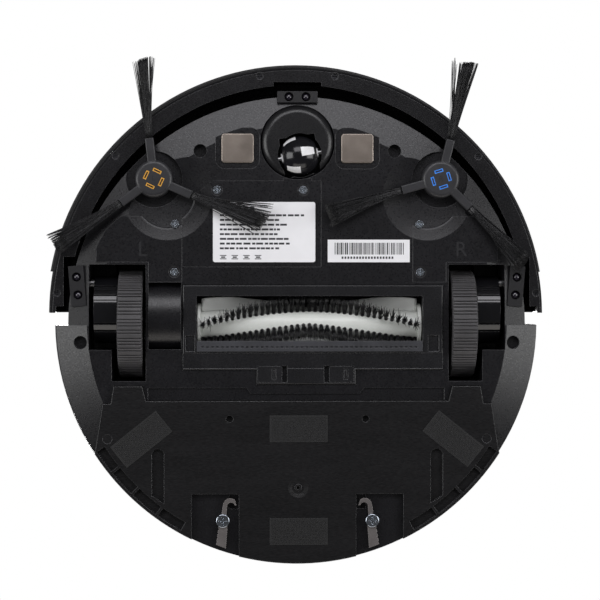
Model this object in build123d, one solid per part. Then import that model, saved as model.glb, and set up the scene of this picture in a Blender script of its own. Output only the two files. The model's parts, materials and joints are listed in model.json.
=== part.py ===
from build123d import *
import math
import os

# Round floor-cleaning robot, in millimetres.
# It stands on its wheels with the floor at z = 0, and the origin is on the floor below its centre.
# The front, with the bumper, is towards -Y. The two sides are mirror images unless a comment says so.

# ---- overall sizes ----
body_radius = 165.0          # outside of the bumper strip
body_height = 80.0           # floor to the top plate
plate_z = 9.5                # flat underside above the floor
plate_thickness = 3.0
wall = 2.5
gap = 0.3                    # between pieces that move against each other
seat = 0.05                  # between pieces of one body that only rest together
running_fit = 0.05           # radial, shafts in their bores

# ---- bumper ----
strip_proud = 1.6
bumper_band = 15.0           # width of the bumper's underside
bumper_z = 13.0
bumper_drop = 5.0            # top of the bumper below the top plate
bumper_end_y = -0.7
strip_end_y = -27.8
strip_low_z = 43.0
strip_high_z = 53.0
bumper_lean = 4.0            # how far the bumper's foot is set in below the strip
bumper_screw_angles = (-85, -49, -9, 9, 49, 85)
bumper_screw_inset = 7.6

# ---- chassis plan ----
front_centre_y = 7.3         # the front disc is set back to give the bumper room
rear_centre_y = 5.4
rear_radius = body_radius - rear_centre_y
side_step_y = 7.3
front_slope_width = 19.0
front_slope_rise = 4.5
rear_slope_width = 24.0
rear_slope_rise = 7.5
rear_flare = 3.5             # how far the rear wall leans out above the slope
flare_top_z = 45.0
cover_thickness = 15.0       # top housing over the tray
top_plate_thickness = 3.0

# ---- drive wheels ----
wheel_radius = 35.0
wheel_width = 16.0
wheel_x = 108.0
wheel_y = 6.6
tyre_thickness = 8.0
tyre_ribs = 48
slot_in_x = 97.8
slot_mid_x = 119.8
slot_out_x = 134.6
slot_front_y = -31.9
slot_rear_y = 43.5
gearbox_slot_rear_y = 23.3
gearbox_radius = 22.1
gearbox_y = -2.7
gearbox_z = 29.6
gearbox_in_x = 116.6
gearbox_out_x = 131.4
pivot_y = -20.0
pivot_z = 30.0
pin_radius = 3.0

# ---- caster ----
caster_y = -111.0
caster_cup_radius = 23.6
caster_wheel_radius = 12.5
caster_wheel_width = 22.0
caster_wheel_end_radius = 7.0
caster_trail = 8.7
caster_turn = -9.5           # rest angle of the axle, degrees about Z

# ---- side brushes ----
hub_x = 92.5
hub_y = -87.0
hub_radius = 12.1
arm_reach = 26.0
arm_width = 5.6
bristle_reach = 77.5
hub_z = 4.0
left_arm_angles = (-96.5, 23.5, 143.5)
right_arm_angles = (-76.0, 44.0, 164.0)
left_slot_angle = -65.0
right_slot_angle = -17.0
pocket_radius = 18.2
dish_radius = 28.8
dish_x = 84.0
dish_y = -76.3

# ---- main brush and its guard ----
roller_y = 6.8
roller_z = 25.0
roller_core_radius = 9.0
roller_blade_radius = 18.0
roller_bristle_radius = 20.5
window_x0 = -65.2
window_x1 = 81.0
window_y0 = -11.6
window_y1 = 24.2
guard_x0 = -74.0
guard_x1 = 94.0
guard_y0 = -18.7
guard_y1 = 36.0
guard_z = 8.0
guard_thickness = 4.0
latch_bay_x0 = -26.5
latch_bay_x1 = 37.6
latch_bay_y = 45.4
latch_width = 15.8
latch_y0 = 33.8
latch_y1 = 44.0
latch_travel = 3.0

# ---- charging contacts, battery, labels ----
contact_x = 38.7
contact_y = -107.0
contact_width = 20.8
contact_depth = 18.9
contact_z = 9.0
cover_x0 = -74.4
cover_x1 = 15.2
cover_y0 = -86.0
cover_y1 = -30.5
cell_diameter = 18.4
cell_length = 65.0
label_thickness = 0.2

# ---- removable dust bin with the mop plate below it ----
mop_z = 7.0
mop_thickness = 4.0
mop_radius = 155.6
bin_front_y = 60.0
bin_half_width = 112.0
bin_top_z = 57.5
bin_wall = 2.0
lever_x = 48.2
lever_y = 133.2
pad_length = 37.5
pad_width = 17.2
pad_proud = 0.8

# ---- buttons on the top ----
button_y = -112.0
button_spread = 12.0
button_radius = 6.5

# ---- worked out ----
shell_radius = body_radius - strip_proud
bumper_in_radius = shell_radius - bumper_band
front_radius = bumper_in_radius - gap
tray_top_z = body_height - top_plate_thickness - cover_thickness
plate_top_z = plate_z + plate_thickness
cover_top_z = body_height - top_plate_thickness
bumper_top_z = body_height - bumper_drop
chamber_radius = roller_bristle_radius + 1.0

# inside the tray
ledge_z = plate_z + rear_slope_rise + plate_thickness
well_roof_z = 2 * wheel_radius + 2.0
well_wall = 1.6
caster_roof_z = 31.0
caster_boss_z = 43.0
caster_shaft_radius = 3.0
pocket_roof_z = 14.5
brush_shaft_radius = 2.5
dish_depth = 3.0
contact_frame = 3.8
cliff_z = 10.5
cliff_top_z = 24.0
front_cliff_y = -140.4
side_cliff_x = 142.0
side_cliff_y = -18.0
side_cliff_tilt = 4.6
boss_top_z = 19.0
screw_z = 9.9
cover_screws = [(79.0, -58.0), (79.5, -27.0)]
battery_screws = [(-52.0, -80.0), (3.7, -80.0)]
rim_screw = (134.0, -45.5, 13.2)
pack_x = -30.0
pack_y = -57.0
chamber_wall = 2.0
duct_half_width = 25.0
duct_z0 = 32.0
duct_z1 = 44.0
hump_x0 = -96.1
hump_x1 = -75.2
hump_y = 1.3
hump_radius = 26.0
hump_half = 21.6
hump_z = 5.5

# brush motor and belt
motor_y = -29.0
motor_z = 42.0
belt_x0 = -90.0
belt_x1 = -83.0
motor_pulley_radius = 6.0
brush_pulley_radius = 12.8

# suction fan
blower_x = 46.0
blower_y = -50.0
blower_radius = 25.0
blower_z0 = plate_z + dish_depth + 2.0 + seat
blower_z1 = 48.0
impeller_z = 33.0

# top plate
top_plate_overlap = 2.5      # how far the disc reaches over the bumper

# caster, inside its cup
caster_cup_z = 7.6
caster_pocket_radius = 14.2
caster_axle_radius = 1.5

# rows of the main brush
fin_sweep = 72.0              # from the middle of the brush to its ends
fin_bow = 1.3                 # how much more slowly a row turns near the middle
fin_rows = 5
bristle_rows = (0, 1, 3)
blade_rows = (2, 4)
first_row_angle = -70.0

# drive wheels, inside
axle_radius = 3.0
tyre_groove = 1.5

# rear notches and levers
notch_x0 = 37.8
notch_x1 = 68.3
notch_y = 116.1
lever_z = 7.3
lever_thickness = 3.2

# cells of the mop plate
cell_angles = (147.5, 141.0, 133.9, 126.2, 119.0)
cell_in = mop_radius - 8.1
cell_out = mop_radius - 1.9

LOW = (Align.MIN, Align.MIN, Align.MIN)
UPRIGHT = (Align.CENTER, Align.CENTER, Align.MIN)


# ---- small helpers ----
def block(x0, x1, y0, y1, z0, z1):
    """A box between two corners."""
    return Pos(x0, y0, z0) * Box(x1 - x0, y1 - y0, z1 - z0, align=LOW)


def rod(radius, z0, z1, x=0.0, y=0.0):
    """An upright cylinder."""
    return Pos(x, y, z0) * Cylinder(radius, z1 - z0, align=UPRIGHT)


def bar(radius, x0, x1, y, z):
    """A cylinder along X."""
    return Pos(x0, y, z) * Rot(0, 90, 0) * Cylinder(radius, x1 - x0, align=UPRIGHT)


def prism(face, z0, z1):
    """A flat face raised from z0 to z1."""
    return Pos(0, 0, z0) * extrude(face, z1 - z0)


def outline(*points):
    """A closed flat face through the points."""
    return Polygon(*points, align=None)


def flipped(shape):
    """The same shape on the other side of the robot."""
    return mirror(shape, about=Plane.YZ)


def both(shape):
    """A shape and its mirror image, as one group."""
    return [shape, flipped(shape)]


def polar(radius, degrees, centre_y=0.0):
    """A point at an angle from +X about (0, centre_y)."""
    turn = math.radians(degrees)
    return (radius * math.cos(turn), centre_y + radius * math.sin(turn))


def rounded_block(x0, x1, y0, y1, z0, z1, radius):
    """A box with rounded upright edges."""
    face = Pos((x0 + x1) / 2, (y0 + y1) / 2) * RectangleRounded(x1 - x0, y1 - y0, radius)
    return prism(face, z0, z1)


def screw(x, y, z, head=2.6, shank=1.4, length=9.0):
    """A countersunk screw whose head faces down at height z, with a cross recess."""
    body = Pos(x, y, z) * Cone(head, shank, 1.8, align=UPRIGHT)
    body += rod(shank, z + 1.8, z + length, x, y)
    cross = block(x - 1.6, x + 1.6, y - 0.3, y + 0.3, z - 1, z + 0.9)
    cross += block(x - 0.3, x + 0.3, y - 1.6, y + 1.6, z - 1, z + 0.9)
    return body - cross


def screw_hole(x, y, z, head=2.6, shank=1.4, length=9.0, room=1.0):
    """The counterbore and bore that a screw at height z sits in."""
    hole = rod(head + room, z - 6, z, x, y)
    hole += Pos(x, y, z) * Cone(head + seat, shank + seat, 1.8, align=UPRIGHT)
    return hole + rod(shank + seat, z + 1.8, z + length + seat, x, y)


# ---- plans shared by several pieces ----
def chassis_plan(inset=0.0):
    """The front disc inside the bumper, and the larger rear body behind the side step."""
    front = Pos(0, front_centre_y) * Circle(front_radius - inset)
    rear = Pos(0, rear_centre_y) * Circle(rear_radius - inset)
    depth = 2 * rear_radius
    keep = Pos(0, side_step_y + inset + depth / 2) * Rectangle(3 * rear_radius, depth)
    return front + (rear & keep)


def mop_plan(room=0.0):
    """Plan of the mop plate: two ears beside the wheels and a round rear edge."""
    side = [(97.6, 56.0), (100.0, 46.5), (118.5, 46.5), (120.4, 57.7), (125.6, 57.7), (131.5, 96.0)]
    right = side + [(131.5, 200.0)]
    left = [(-x, y) for x, y in reversed(right)]
    face = outline(*right, *left)
    if room:
        face = offset(face, amount=room, kind=Kind.INTERSECTION)
    return face & (Pos(0, rear_centre_y) * Circle(mop_radius + room))


def bin_plan(inset=0.0, radius=rear_radius):
    """Plan of the dust bin: straight sides that open slightly towards the rear."""
    half = bin_half_width - inset
    front = bin_front_y + inset
    corners = [(half, front), (half + 8, front + 34), (half + 8, 200)]
    left = [(-x, y) for x, y in reversed(corners)]
    return outline(*corners, *left) & (Pos(0, rear_centre_y) * Circle(radius - inset))


def wheel_cover_plan(room=0.0):
    """Plan of the cover in front of the right wheel."""
    rim = [(74.7 - room, -20.8 + room), (74.7 - room, -63.1 - room), (113.8, -63.1 - room)]
    bow = [(124.0 + room, -53.6 - room), (129.6 + room, -43.0), (129.8 + room, slot_front_y - 1.6)]
    step = [(slot_in_x - 1.6, slot_front_y - 1.6), (slot_in_x - 1.6, -20.8 + room)]
    return outline(*rim, *bow, *step)


def battery_cover_plan(room=0.0):
    """Plan of the battery cover, with one corner cut off and a tab towards the caster."""
    x0, x1 = cover_x0 - room, cover_x1 + room
    y0, y1 = cover_y0 - room, cover_y1 + room
    cut = [(x0, y0 + 16.2), (x0 + 19.2, y0)]
    tab = [(-9 - room, y0), (-9 - room, y0 - 1.6), (9 + room, y0 - 1.6), (9 + room, y0)]
    return outline((x0, y1), *cut, *tab, (x1, y0), (x1, y1))


def guard_plan(room=0.0):
    """Plan of the brush guard, with the bay that carries its two latches."""
    x0, x1, y0, y1 = guard_x0 - room, guard_x1 + room, guard_y0 - room, guard_y1 + room
    bay = [(latch_bay_x1 + room, y1), (latch_bay_x1 + room, latch_bay_y + room)]
    bay += [(latch_bay_x0 - room, latch_bay_y + room), (latch_bay_x0 - room, y1)]
    return outline((x0, y0), (x1, y0), (x1, y1), *bay, (x0, y1))


def outer_cone(centre_y, low_radius, high_radius, low_z, high_z):
    """What is removed round a cone so that a wall or an underside leans out towards the top."""
    ring = rod(high_radius + 8, low_z, high_z, 0, centre_y)
    return ring - Pos(0, centre_y, low_z) * Cone(low_radius, high_radius, high_z - low_z, align=UPRIGHT)


# ---- chassis ----


def dish(side):
    """The shallow round hollow beside a side brush."""
    ball = (dish_radius ** 2 + dish_depth ** 2) / (2 * dish_depth)
    return Pos(side * dish_x, dish_y, plate_z + dish_depth - ball) * Sphere(ball)


def wheel_well(grow, z0, front):
    """The space that the right wheel and its gearbox hang in, or its outside."""
    wheel = block(slot_in_x - grow, slot_mid_x + grow, front - grow, slot_rear_y + grow,
                  z0, well_roof_z + grow)
    gearbox_top = gearbox_z + gearbox_radius + 3.0 + grow
    return wheel + block(slot_mid_x - grow, slot_out_x + grow, front - grow,
                         gearbox_slot_rear_y + grow, z0, gearbox_top)


def cliff_box(grow, side):
    """The housing of a side drop sensor, tilted to follow the rim."""
    size = Box(9.6 + 2 * grow, 26.2 + 2 * grow, cliff_top_z - cliff_z + grow, align=UPRIGHT)
    return Pos(side * side_cliff_x, side_cliff_y, cliff_z) * Rot(0, 0, side * side_cliff_tilt) * size


def chassis_towers():
    """The solids that stand on the tray floor before they are bored."""
    roof = bin_top_z + gap + wall
    towers = prism(bin_plan(-gap - wall), plate_z, roof)
    towers += rod(caster_cup_radius + 3.2, plate_z, caster_roof_z + 3.0, 0, caster_y)
    towers += rod(7.0, caster_roof_z, caster_boss_z, 0, caster_y)
    for side in (-1, 1):
        towers += rod(pocket_radius + 2.0, plate_z, pocket_roof_z + 3.0, side * hub_x, hub_y)
        towers += rod(dish_radius + 1.0, plate_z, plate_z + dish_depth + 2.0, side * dish_x, dish_y)
        towers += rod(6.5, plate_z, 17.0, side * 62.8, -105.3)
        for x, y in cover_screws:
            towers += rod(3.4, plate_z, boss_top_z, side * x, y)
    for x, y in battery_screws:
        towers += rod(3.4, plate_z, boss_top_z, x, y)
    towers &= prism(chassis_plan(), plate_z, tray_top_z)
    well = wheel_well(well_wall, plate_z, slot_front_y - 2.0)
    return towers + well + flipped(well)


def chassis_hollows():
    """Everything that is cut out of the tray from below."""
    big = 2 * body_radius
    cuts = prism(bin_plan(-gap, rear_radius + 20), 0, bin_top_z + gap)
    cuts += prism(mop_plan(gap), 0, mop_z + mop_thickness + gap)
    cuts += prism(guard_plan(gap), 0, plate_top_z)
    cuts += block(hump_x0 - 0.1, hump_x1 + 0.1, hump_y - hump_half, hump_y + hump_half, 0, ledge_z)
    cuts += rod(caster_cup_radius + 0.5, 0, caster_roof_z, 0, caster_y)
    cuts += rod(caster_shaft_radius + running_fit, 0, caster_boss_z, 0, caster_y)
    cuts += prism(battery_cover_plan(0.15), 0, plate_z + 2.0)
    cuts += block(pack_x - 37.5, pack_x + 37.5, pack_y - 19, pack_y + 19, 0, ledge_z)
    cuts += block(-13.1, 13.1, -big, front_cliff_y + 3.8, 0, cliff_top_z + seat)
    slot = wheel_well(0, plate_top_z, slot_front_y - 2.0)
    slot += block(slot_in_x, slot_mid_x, slot_front_y, slot_rear_y, 0, plate_top_z)
    slot += block(slot_mid_x, slot_out_x, slot_front_y, gearbox_slot_rear_y, 0, plate_top_z)
    slot += bar(pin_radius, slot_out_x - 1, slot_out_x + well_wall, pivot_y, pivot_z)
    slot += prism(wheel_cover_plan(0.15), 0, plate_z + 1.5)
    slot += rod(4.3, 0, 15.5, 140.0, 18.5)
    slot += rod(4.3, 0, 15.0, 62.8, -105.3)
    slot += rod(pocket_radius, 0, pocket_roof_z, hub_x, hub_y)
    slot += rod(brush_shaft_radius + running_fit, 0, ledge_z + 10.0, hub_x, hub_y)
    x0, x1 = contact_x - contact_width / 2, contact_x + contact_width / 2
    y0, y1 = contact_y - contact_depth / 2, contact_y + contact_depth / 2
    frame = contact_frame
    slot += rounded_block(x0 - frame, x1 + frame, y0 - frame, y1 + frame, 0, plate_z + 0.8, 6.0)
    slot += rounded_block(x0 - 0.1, x1 + 0.1, y0 - 0.1, y1 + 0.1, 0, plate_z + 1.8, 2.1)
    cuts += slot + flipped(slot)
    for side in (-1, 1):
        cuts += dish(side)
        cuts += cliff_box(0.1, side)
        for x, y in cover_screws:
            cuts += screw_hole(side * x, y, screw_z)
    for x, y in battery_screws:
        cuts += screw_hole(x, y, screw_z)
    cuts += screw_hole(*rim_screw, length=6.0)
    groove = [(-96.5, 47.8), (-32.8, 47.8), (-30.3, 51.4), (40.5, 51.4), (43.0, 47.8), (95.0, 47.8)]
    cuts += prism(outline(*groove, (95.0, 56.5), (-96.5, 56.5)), 0, plate_z + 1.2)
    cuts += block(-duct_half_width, duct_half_width, 40, 70, duct_z0, duct_z1)
    return cuts


def base_chassis():
    """The tray that carries everything, with the wheel wells and the bay of the dust bin."""
    big = 2 * body_radius
    tray = prism(chassis_plan(), plate_z, tray_top_z)
    tray -= prism(chassis_plan(rear_slope_width + wall), plate_top_z, ledge_z)
    tray -= prism(chassis_plan(wall + rear_flare), ledge_z, flare_top_z)
    tray -= prism(chassis_plan(wall), flare_top_z, tray_top_z)
    tray += chassis_towers()
    front = outer_cone(front_centre_y, front_radius - front_slope_width, front_radius,
                       plate_z, plate_z + front_slope_rise)
    foot_radius = rear_radius - rear_flare
    slope_top_z = plate_z + rear_slope_rise
    rear = outer_cone(rear_centre_y, rear_radius - rear_slope_width, foot_radius, plate_z, slope_top_z)
    rear += outer_cone(rear_centre_y, foot_radius, rear_radius, slope_top_z, flare_top_z)
    tray -= front & block(-big, big, -big, side_step_y, 0, ledge_z)
    tray -= rear & block(-big, big, side_step_y, big, 0, flare_top_z)
    return tray - chassis_hollows()


def wheel_cover():
    """The thin plate in front of the right wheel."""
    plate = prism(wheel_cover_plan(), plate_z, plate_z + 1.5 - seat)
    plate -= dish(1)
    plate -= rod(pocket_radius, 0, pocket_roof_z, hub_x, hub_y)
    for x, y in cover_screws:
        plate -= screw_hole(x, y, screw_z)
    return plate


def battery_cover():
    """The lid over the battery, screwed on at its front edge."""
    lid = prism(battery_cover_plan(), plate_z, plate_z + 2.0 - seat)
    lid -= dish(-1)
    lid -= rod(caster_cup_radius + 0.5, 0, caster_roof_z, 0, caster_y)
    for x, y in battery_screws:
        lid -= screw_hole(x, y, screw_z)
    return lid


def battery_pack():
    """Four round cells, two wide and two high, wrapped as one pack."""
    half = cell_diameter / 2
    cells = []
    for y in (pack_y - half, pack_y + half):
        for z in (plate_z + 2.2 + half, plate_z + 2.2 + 3 * half):
            cells.append(bar(half, pack_x - cell_length / 2, pack_x + cell_length / 2, y, z))
    return Compound(children=cells)


def chassis_screws():
    """The small screws of the underside."""
    screws = [screw(side * x, y, screw_z) for side in (-1, 1) for x, y in cover_screws]
    screws += [screw(x, y, screw_z) for x, y in battery_screws]
    screws.append(screw(*rim_screw, length=6.0))
    return Compound(children=screws)


# ---- parts fixed to the chassis ----
def brush_gearbox_cover():
    """The round-backed cover over the belt drive, left of the main brush."""
    middle = hump_z + hump_radius
    keep = block(hump_x0, hump_x1, hump_y - hump_half + 0.1, hump_y + hump_half - 0.1, 0, ledge_z - 2.0)
    hollow = bar(hump_radius - wall, hump_x0 + wall, hump_x1 - wall, hump_y, middle)
    return (bar(hump_radius, hump_x0, hump_x1, hump_y, middle) & keep) - hollow


def brush_chamber():
    """The tunnel that the main brush turns in, with its flange inside the tray."""
    x0, x1 = window_x0 - chamber_wall, window_x1 + chamber_wall
    y0, y1 = roller_y - chamber_radius - chamber_wall, roller_y + chamber_radius + chamber_wall
    shell = block(x0, x1, y0, y1, plate_top_z + seat, roller_z + chamber_radius + chamber_wall)
    shell += block(guard_x0 + 0.6, guard_x1 + 2, guard_y0 - 3, guard_y1 + 3, plate_top_z + seat, plate_top_z + 2)
    shell -= bar(chamber_radius, window_x0, window_x1, roller_y, roller_z)
    mouth = chamber_radius
    shell -= block(window_x0, window_x1, roller_y - mouth, roller_y + mouth, 0, roller_z)
    shell -= bar(4.0 + running_fit, x0 - 30, x0 + 10, roller_y, roller_z)
    shell -= bar(3.0 + running_fit, x1 - 10, x1 + 10, roller_y, roller_z)
    return shell - block(-duct_half_width, duct_half_width, roller_y + 5, 60, duct_z0, duct_z1)


def suction_duct():
    """The flat tube from the brush chamber back to the dust bin."""
    y0 = roller_y + chamber_radius + chamber_wall + seat
    y1 = bin_front_y - gap - wall - seat
    inner = block(-duct_half_width, duct_half_width, y0, y1, duct_z0, duct_z1)
    half = duct_half_width + 1.6
    return block(-half, half, y0, y1, duct_z0 - 1.6, duct_z1 + 1.6) - inner


def main_brush_motor():
    """The motor that drives the main brush by a belt."""
    body = bar(9.0, -72.0, -30.0, motor_y, motor_z) + bar(4.0, -74.0, -72.0, motor_y, motor_z)
    return body - bar(1.5 + running_fit, -75.0, -50.0, motor_y, motor_z)


def motor_pulley():
    """The toothed pulley on the motor shaft."""
    return bar(motor_pulley_radius, belt_x0, belt_x1, motor_y, motor_z) + bar(
        1.5, -92.0, -52.0, motor_y, motor_z)


def drive_belt():
    """The belt round the two pulleys."""
    def loop(grow):
        small = Pos(motor_y, motor_z) * Circle(motor_pulley_radius + grow)
        large = Pos(roller_y, roller_z) * Circle(brush_pulley_radius + grow)
        return make_hull(small.edges() + large.edges())
    flat = Plane.YZ * (loop(1.4) - loop(0.15))
    return Pos(belt_x0 + 0.5, 0, 0) * extrude(flat, belt_x1 - belt_x0 - 1.0)


def main_board():
    """The circuit board over the brush chamber, with its largest chips."""
    z = roller_z + chamber_radius + chamber_wall + seat
    board = block(-58.0, 58.0, -14.0, 28.0, z, z + 1.6)
    chips = [(-30, 0, 14), (0, 8, 10), (30, -2, 12), (44, 14, 6)]
    for x, y, side in chips:
        board += block(x - side / 2, x + side / 2, y - side / 2, y + side / 2, z + 1.6, z + 3.0)
    return board


def blower_housing():
    """The drum that the suction fan turns in, open at the top."""
    drum = rod(blower_radius, blower_z0, blower_z1, blower_x, blower_y)
    drum -= rod(blower_radius - 2, impeller_z - 1, blower_z1 - 2, blower_x, blower_y)
    drum -= rod(13.0 + seat, blower_z0 + 2, impeller_z, blower_x, blower_y)
    drum -= rod(9.0, impeller_z, blower_z1 + 1, blower_x, blower_y)
    return drum


def blower_motor():
    """The fan motor in the foot of the drum."""
    motor = rod(13.0, blower_z0 + 2 + seat, impeller_z - 1.5, blower_x, blower_y)
    return motor - rod(1.2 + running_fit, blower_z0 + 6, impeller_z, blower_x, blower_y)


def blower_impeller():
    """The fan wheel: a disc with curved blades round an open eye."""
    fan = rod(21.0, impeller_z, impeller_z + 1.5, blower_x, blower_y)
    fan += rod(4.0, impeller_z, impeller_z + 10.0, blower_x, blower_y)
    fan += rod(1.2, blower_z0 + 7, impeller_z + 1, blower_x, blower_y)
    for k in range(9):
        blade = block(6.0, 20.5, -0.6, 0.6, impeller_z + 1.0, impeller_z + 10.0)
        fan += Pos(blower_x, blower_y, 0) * Rot(0, 0, 40.0 * k) * Pos(0, 2.0, 0) * blade
    return fan


def side_brush_motors():
    """The two geared motors over the side brushes."""
    z = ledge_z + seat
    motors = []
    for side in (-1, 1):
        x = side * hub_x
        can_x, can_y = side * (hub_x - 10.5), hub_y + 13.0
        circles = (Pos(x, hub_y) * Circle(9.5)) + (Pos(can_x, can_y) * Circle(9.5))
        motor = prism(make_hull(circles.edges()), z, z + 16)
        motor += rod(9.0, z + 16, z + 32, can_x, can_y)
        motors.append(motor - rod(brush_shaft_radius + running_fit, 0, z + 11, x, hub_y))
    return Compound(children=motors)


def bumper_switches():
    """The two bump switches on the inside of the front wall."""
    switches = []
    for turn in (-115, -65):
        x, y = polar(front_radius - wall - rear_flare - 5.6, turn, front_centre_y)
        switches.append(Pos(x, y, 36) * Rot(0, 0, turn + 90) * Box(20, 10, 6))
    return Compound(children=switches)


def charging_contacts():
    """The two metal plates that meet the charging dock."""
    plate = rounded_block(contact_x - contact_width / 2, contact_x + contact_width / 2,
                          contact_y - contact_depth / 2, contact_y + contact_depth / 2,
                          contact_z, plate_z + 1.8 - seat, 2.0)
    plate = fillet(plate.faces().sort_by(Axis.Z)[0].edges(), 0.5)
    return Compound(children=[plate, flipped(plate)])


def lens_places():
    """Where the lenses of the three drop sensors sit: x, y."""
    places = [(-5.5, front_cliff_y), (5.5, front_cliff_y)]
    for side in (-1, 1):
        for along in (-5.8, 5.8):
            turn = math.radians(side * side_cliff_tilt)
            x = side * side_cliff_x - along * math.sin(turn)
            places.append((x, side_cliff_y + along * math.cos(turn)))
    return places


def cliff_housings():
    """The dark housings of the drop sensors, with a window for each lens."""
    shells = [block(-13.0, 13.0, front_cliff_y - 3.6, front_cliff_y + 3.7, cliff_z, cliff_top_z)]
    shells += [cliff_box(0, side) for side in (-1, 1)]
    for k in range(len(shells)):
        for x, y in lens_places():
            shells[k] -= rod(3.0, 0, cliff_z + 3.0, x, y)
            shells[k] -= rod(1.6, 0, cliff_z + 8.0, x, y)
    return Compound(children=shells)


def cliff_lenses():
    """The small domed lenses of the drop sensors."""
    lenses = []
    for x, y in lens_places():
        dome = Pos(x, y, cliff_z + 3.4) * Sphere(2.6)
        lenses.append(dome & rod(2.7, cliff_z, cliff_z + 3.0 - seat, x, y))
    return Compound(children=lenses)


def labels():
    """The two blank white stickers: a large one on the battery cover and a long one beside it."""
    z = plate_z - label_thickness
    large = rounded_block(-54.6, 11.5, -72.3, -33.4, z, plate_z, 1.5)
    return Compound(children=[large, block(19.5, 72.6, -48.0, -33.4, z, plate_z)])


def pivot_pins():
    """The pins that the wheel units swing on."""
    pin = bar(pin_radius, gearbox_in_x + 2, slot_out_x + well_wall, pivot_y, pivot_z)
    return Compound(children=both(pin))


# ---- top ----
def top_housing():
    """The cap over the tray, with a rounded upper edge and the bores for the buttons."""
    cap = prism(chassis_plan(), tray_top_z + seat, cover_top_z)
    rim = [edge for edge in cap.edges() if edge.center().Z > cover_top_z - 0.1]
    cap = fillet(rim, 4.0)
    cap -= prism(chassis_plan(wall), tray_top_z, cover_top_z - wall)
    for side in (-1, 1):
        cap -= rod(button_radius + gap, tray_top_z, body_height, side * button_spread, button_y)
    return cap


def top_plate():
    """The glossy disc on the top housing."""
    disc = rod(bumper_in_radius + top_plate_overlap, cover_top_z + seat, body_height)
    disc = fillet(disc.faces().sort_by(Axis.Z)[-1].edges(), 1.5)
    for side in (-1, 1):
        disc -= rod(button_radius + gap, tray_top_z, body_height + 1, side * button_spread, button_y)
    ring = rod(3.2, body_height - 1, body_height + 1, 0, button_y + 16)
    return disc - ring


def status_light():
    """The small light window behind the buttons."""
    return rod(3.1, body_height - 1 + seat, body_height - 0.05, 0, button_y + 16)


def top_button(side):
    """A round push button with a retaining flange below the cap."""
    x = side * button_spread
    cap = rod(button_radius, cover_top_z - wall - 1, body_height + 0.6, x, button_y)
    cap = fillet(cap.faces().sort_by(Axis.Z)[-1].edges(), 0.8)
    flange_top = cover_top_z - wall - gap
    cap += rod(button_radius + 1.8, flange_top - 1.2, flange_top, x, button_y)
    mark = rod(2.4, body_height, body_height + 1, x, button_y)
    mark -= rod(1.8, body_height, body_height + 1, x, button_y)
    if side > 0:
        mark = block(x - 2, x + 2, button_y - 0.4, button_y + 0.4, body_height + 0.2, body_height + 1)
    return cap - Pos(0, 0, 0.3) * mark


# ---- bumper ----
def bumper_shell():
    """The sprung bumper: a channel section round the front half."""
    inner, outer = bumper_in_radius, shell_radius
    low, high = bumper_z, bumper_top_z
    skin = wall
    foot = outer - bumper_lean
    profile = [(inner, low), (foot - 1.5, low), (foot, low + 1.5), (outer, strip_low_z), (outer, high - 6)]
    profile += [(outer - 1.8, high - 1.8), (outer - 6, high), (inner, high), (inner, high - skin)]
    profile += [(outer - 6 - skin, high - skin), (outer - skin, high - 6 - skin)]
    profile += [(outer - skin, strip_low_z), (foot - skin, low + skin), (inner, low + skin)]
    section = make_face(Plane.XZ * Polyline(*profile, close=True))
    ring = revolve(section, Axis.Z, 360)
    big = 2 * body_radius
    ring -= block(-big, big, bumper_end_y, big, 0, body_height + 5)
    notch = block(-15.5, 15.5, -inner - 1.8, 0, low - 1, low + skin + 1)
    side_room = inner + 2.6
    notch += block(-side_room, side_room, -37.0, big, low - 1, low + skin + 1)
    notch += block(-side_room - 5, side_room + 5, -5.0, big, low - 1, low + skin + 1)
    ring -= notch
    for turn in bumper_screw_angles:
        x, y = polar(outer - bumper_screw_inset, turn - 90)
        ring += rod(2.8, low, low + 9, x, y)
        ring -= screw_hole(x, y, low + 1.2, head=1.9, shank=1.1, length=6.0, room=0.4)
    return ring


def bumper_screws():
    """The small screws in the underside of the bumper."""
    screws = []
    for turn in bumper_screw_angles:
        x, y = polar(shell_radius - bumper_screw_inset, turn - 90)
        screws.append(screw(x, y, bumper_z + 1.2, head=1.9, shank=1.1, length=6.0))
    return Compound(children=screws)


def bumper_strip():
    """The soft strip that stands proud round the front."""
    ring = rod(body_radius, strip_low_z, strip_high_z)
    ring = fillet(ring.edges(), 1.2)
    ring -= rod(shell_radius + seat, strip_low_z, strip_high_z)
    big = 2 * body_radius
    return ring - block(-big, big, strip_end_y, big, 0, body_height)


# ---- side brushes ----
def brush_hub(side, arm_angles):
    """The hub of a side brush, with its three arms and its drive shaft."""
    x = side * hub_x
    hub = rod(hub_radius, hub_z, pocket_roof_z - 1.5, x, hub_y)
    hub = fillet(hub.faces().sort_by(Axis.Z)[0].edges(), 2.5)
    hub += rod(brush_shaft_radius, pocket_roof_z - 1.5, ledge_z + 10.0, x, hub_y)
    arm = block(4.0, arm_reach, -arm_width / 2, arm_width / 2, hub_z + 0.6, hub_z + 4.4)
    arm = fillet(arm.edges().filter_by(Axis.X), 0.8)
    slot_angle = left_slot_angle if side < 0 else right_slot_angle
    for turn in arm_angles:
        hub += Pos(x, hub_y, 0) * Rot(0, 0, turn) * arm
    for k in range(4):
        hub -= Pos(x, hub_y, 0) * Rot(0, 0, slot_angle + 90 * k) * insert_bar(0.0)
    return hub


def insert_bar(room):
    """One of the four coloured bars in the hub's face."""
    return block(4.2 - room, 6.4 + room, -2.9 - room, 2.9 + room, hub_z - 1, hub_z + 1.2)


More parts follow.
